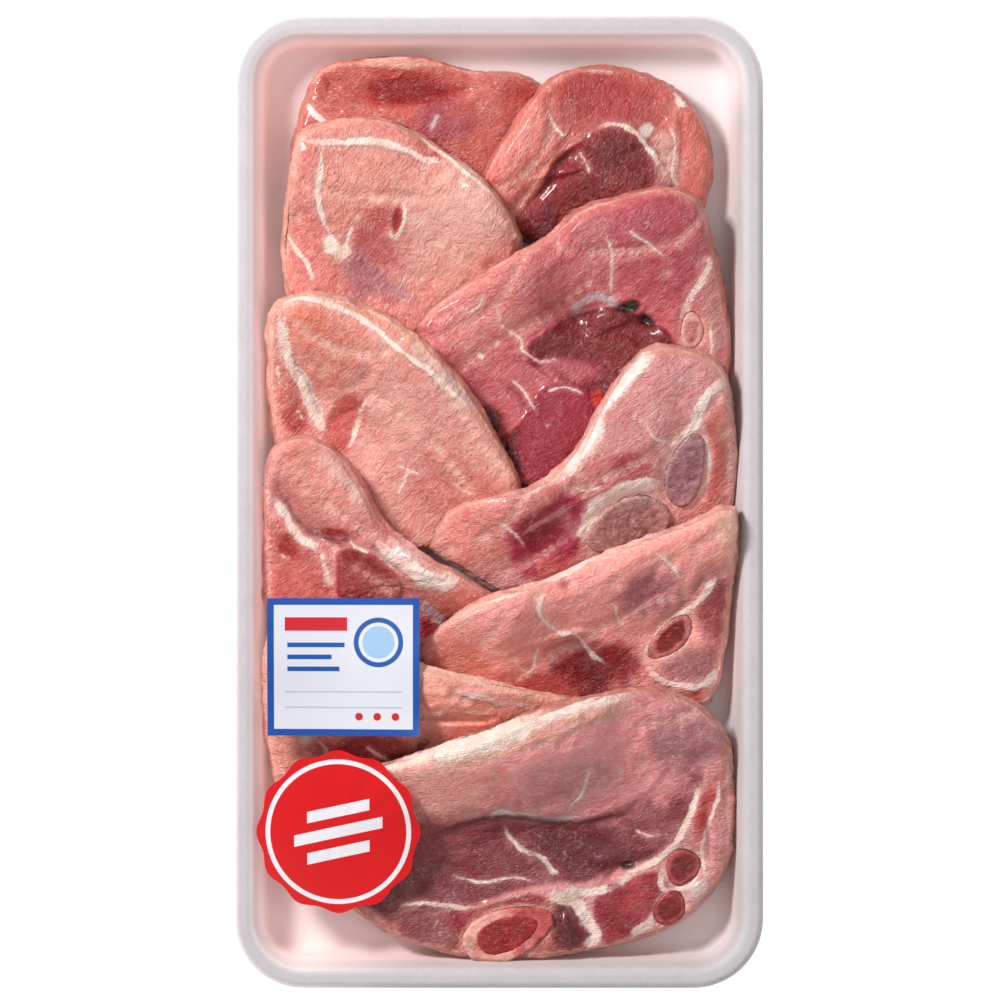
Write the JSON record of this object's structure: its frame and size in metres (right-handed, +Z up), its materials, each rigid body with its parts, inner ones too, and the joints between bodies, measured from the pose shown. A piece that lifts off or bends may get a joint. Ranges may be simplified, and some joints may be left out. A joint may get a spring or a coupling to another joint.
{
  "type": "meat tray pack",
  "caption": "Shallow white foam tray filled with raw bone-in pork chops, laid overlapping in two columns, with a printed card and a round sticker on top.",
  "frame": {"origin": "on the surface the tray stands on, under the middle of the tray", "axes": "+Y along the tray's long side, from the end with the print (-Y) to the other, +X across it to the right, +Z up"},
  "size_m": [0.204, 0.375, 0.0515],
  "materials": {
    "foam": "white expanded foam, soft satin",
    "meat": "raw wet meat, pink to dark red, marbled",
    "bone": "cut bone, ivory rim and red spongy middle",
    "gristle": "grey-mauve wet gristle",
    "marrow": "bright red wet marrow",
    "card": "coated white card with a blue border",
    "sticker": "coated red paper with a white ring"
  },
  "bodies": {
    "root": {"tray": "foam", "chop_01": "meat", "chop_02": "meat", "chop_03": "meat", "chop_04": "meat", "chop_05": "meat", "chop_06": "meat", "chop_07": "meat", "chop_08": "meat", "chop_09": "meat", "chop_10": "meat", "bone_04": "bone", "bone_06": "bone", "bone_08": "bone", "bone_10": "bone", "rib_10a": "bone", "rib_10b": "bone", "gristle_06": "gristle", "marrow_10": "marrow", "label_card": "card", "label_sticker": "sticker"}
  },
  "joints": []
}
